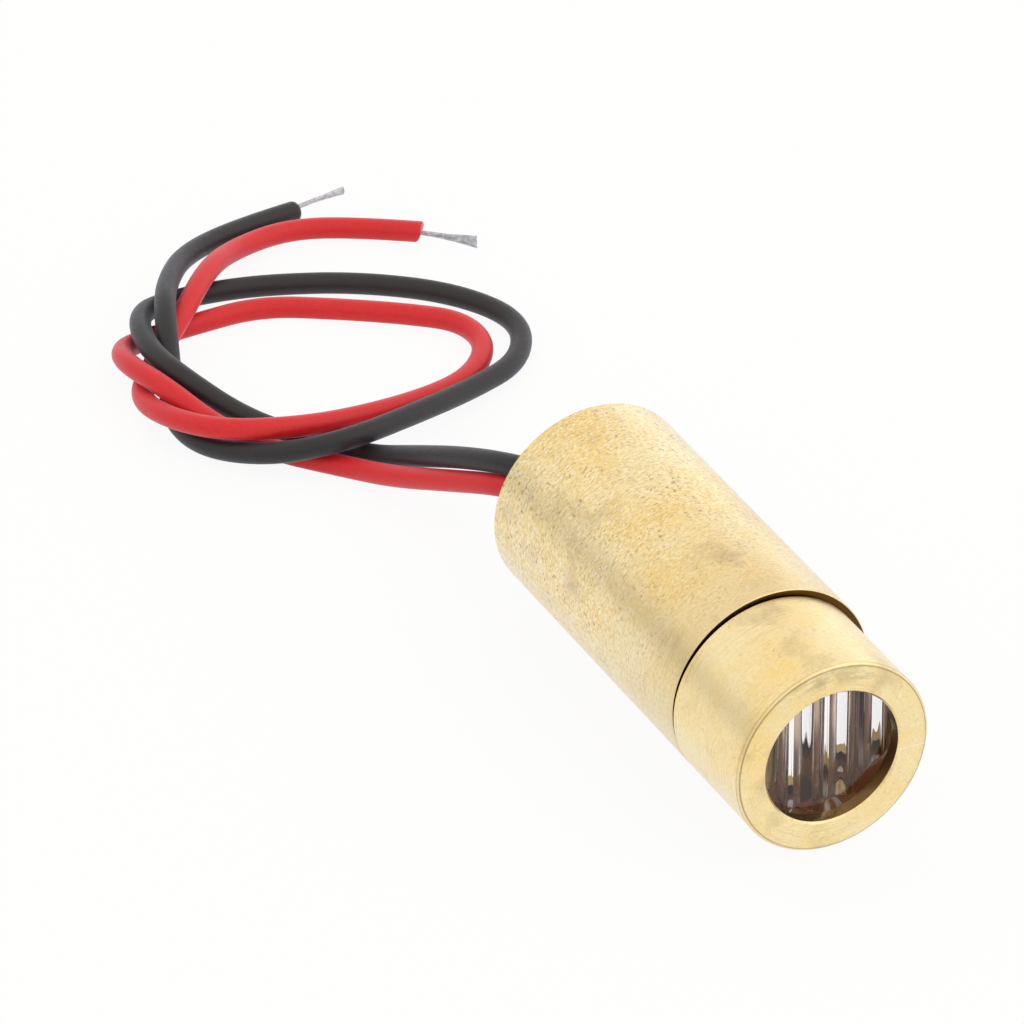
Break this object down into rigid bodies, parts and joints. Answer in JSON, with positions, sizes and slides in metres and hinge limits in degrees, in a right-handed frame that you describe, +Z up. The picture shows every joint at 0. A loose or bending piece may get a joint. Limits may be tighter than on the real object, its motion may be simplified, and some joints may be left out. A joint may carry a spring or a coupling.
{
  "type": "laser diode module",
  "caption": "Round brass line-laser module with a ribbed clear lens in its front aperture and knotted red and black supply leads leaving the rear.",
  "frame": {"origin": "under the middle of the brass body, on the surface that it lies on; the leads are left out of the box", "axes": "+X along the beam, from the rear face to the aperture; +Z up; +Y across"},
  "size_m": [0.0548, 0.0198, 0.009],
  "materials": {
    "brass": "turned and tumbled, matt",
    "lens_acrylic": "clear moulded",
    "plated_steel": "flash gold plated",
    "nickel_steel": "nickel plated",
    "window_glass": "polished",
    "seal_glass": "fused",
    "semiconductor": "polished",
    "board_laminate": "solder resist",
    "black_mould": "moulded",
    "resistor_ceramic": "glazed",
    "capacitor_ceramic": "fired",
    "solder": "reflowed",
    "potting_resin": "cast",
    "red_pvc": "extruded",
    "black_pvc": "extruded",
    "tinned_copper": "tinned strands"
  },
  "bodies": {
    "root": {"barrel": "brass", "head": "brass", "line_lens": "lens_acrylic", "lens_spacer": "brass", "collimating_lens": "lens_acrylic", "lens_retainer": "brass", "diode_header": "plated_steel", "diode_cap": "nickel_steel", "diode_window": "window_glass", "laser_chip": "semiconductor", "monitor_photodiode": "semiconductor", "diode_pins": "plated_steel", "pin_seals": "seal_glass", "driver_board": "board_laminate", "driver_transistor": "black_mould", "resistors": "resistor_ceramic", "capacitor": "capacitor_ceramic", "pin_solder": "solder", "lead_solder": "solder", "rear_potting": "potting_resin", "black_lead": "black_pvc", "red_lead": "red_pvc", "black_conductor": "tinned_copper", "red_conductor": "tinned_copper"}
  },
  "joints": []
}
